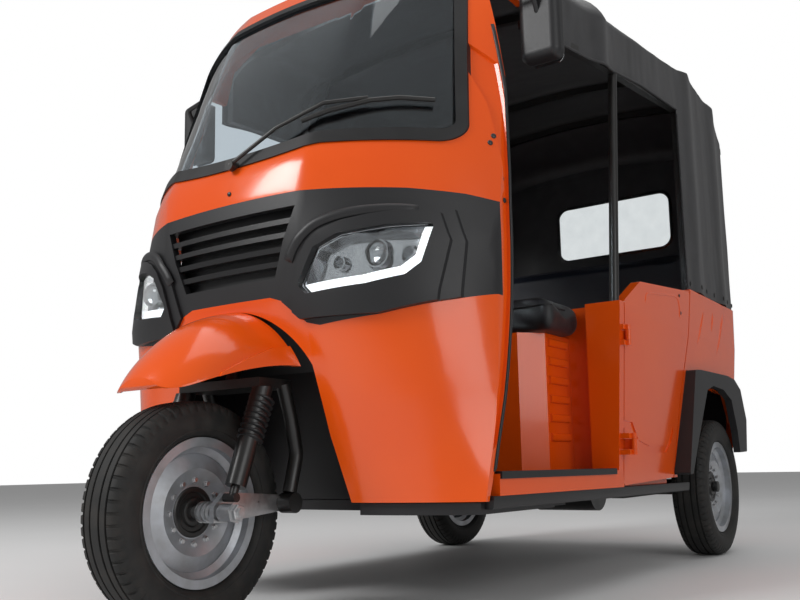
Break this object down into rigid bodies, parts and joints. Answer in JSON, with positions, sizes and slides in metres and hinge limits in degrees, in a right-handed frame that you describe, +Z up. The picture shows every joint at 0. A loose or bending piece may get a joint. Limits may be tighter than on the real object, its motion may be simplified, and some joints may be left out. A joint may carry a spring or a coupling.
{
  "type": "passenger auto rickshaw",
  "caption": "Electric three-wheeled passenger vehicle with closed front cab, steered front wheel, half doors, rear bench and soft canopy.",
  "frame": {"origin": "middle of the length and width, on the ground under the tyres", "axes": "+X to the vehicle's left, +Y to its tail, +Z up; the front wheel faces -Y"},
  "size_m": [1.402, 2.6999, 1.905],
  "materials": {
    "body_paint": "gloss orange enamel on pressed sheet steel",
    "black_plastic": "grained black moulded plastic",
    "black_metal": "satin black chassis enamel",
    "rubber": "matt black rubber",
    "tyre": "matt black tyre rubber with grooved tread",
    "glass": "tinted safety glass",
    "clear": "clear lamp plastic",
    "chrome": "vapour-plated reflector",
    "lamp_white": "white light guide",
    "rim_silver": "silver wheel enamel",
    "steel": "plain machined steel",
    "seat_vinyl": "dark grained vinyl over foam",
    "canopy_vinyl": "black vinyl-coated cloth",
    "floor_mat": "ribbed black rubber mat",
    "window_film": "clear flexible window film",
    "tail_red": "red lamp plastic",
    "plate": "blank white plate"
  },
  "bodies": {
    "body": {"battery": "black_plastic", "bench_back": "seat_vinyl", "bench_base": "black_metal", "bench_cushion": "seat_vinyl", "bulkhead": "body_paint", "canopy_cover": "canopy_vinyl", "canopy_frame": "black_metal", "chassis": "black_metal", "dampers": "black_metal", "dashboard": "black_plastic", "drive_unit": "black_metal", "driver_cushion": "seat_vinyl", "driver_seat_box": "body_paint", "floor_pan": "floor_mat", "front_mask": "black_plastic", "grille": "black_plastic", "headlamp_housings": "chrome", "headlamp_lenses": "clear", "headlamp_strips": "lamp_white", "lower_cowl": "body_paint", "mirrors": "black_plastic", "mudguard": "body_paint", "number_plate": "plate", "rear_bumper": "black_metal", "rear_panel": "body_paint", "rear_window": "window_film", "roof_posts": "black_metal", "side_panels": "body_paint", "side_sills": "body_paint", "steering_head": "black_metal", "tail_lamps": "tail_red", "trailing_arms": "black_metal", "under_skirt": "black_plastic", "wheel_flares": "black_plastic", "wheel_housings": "black_metal", "wheel_liner": "black_plastic", "windscreen_frame": "body_paint", "windscreen_glass": "glass", "windscreen_seal": "rubber", "wiper": "black_metal"},
    "steering": {"steering_fork": "black_metal", "fork_links": "steel", "fork_struts": "black_metal", "handlebar": "black_metal"},
    "front_wheel": {"front_rim": "rim_silver", "front_tyre": "tyre"},
    "rear_wheel_left": {"rear_rim_left": "rim_silver", "rear_tyre_left": "tyre"},
    "rear_wheel_right": {"rear_rim_right": "rim_silver", "rear_tyre_right": "tyre"},
    "left_half_door": {"half_door_left": "body_paint"},
    "right_half_door": {"half_door_right": "body_paint"}
  },
  "joints": [
    {"name": "steering_turn", "type": "hinge", "parent": "body", "child": "steering", "pos_m": [0, -0.96099, 0.558], "axis": [0, 0.3024, 0.9532], "range_deg": [-40, 40]},
    {"name": "front_wheel_spin", "type": "hinge", "parent": "steering", "child": "front_wheel", "pos_m": [0, -1.098, 0.252], "axis": [1, 0, 0], "continuous": true},
    {"name": "rear_wheel_left_spin", "type": "hinge", "parent": "body", "child": "rear_wheel_left", "pos_m": [0.5675, 0.992, 0.252], "axis": [1, 0, 0], "continuous": true},
    {"name": "rear_wheel_right_spin", "type": "hinge", "parent": "body", "child": "rear_wheel_right", "pos_m": [-0.5675, 0.992, 0.252], "axis": [1, 0, 0], "continuous": true},
    {"name": "left_half_door_swing", "type": "hinge", "parent": "body", "child": "left_half_door", "pos_m": [0.65, 0.016, 0.56], "axis": [0, 0, 1], "range_deg": [-100, 0]},
    {"name": "right_half_door_swing", "type": "hinge", "parent": "body", "child": "right_half_door", "pos_m": [-0.65, 0.016, 0.56], "axis": [0, 0, 1], "range_deg": [0, 100]}
  ]
}
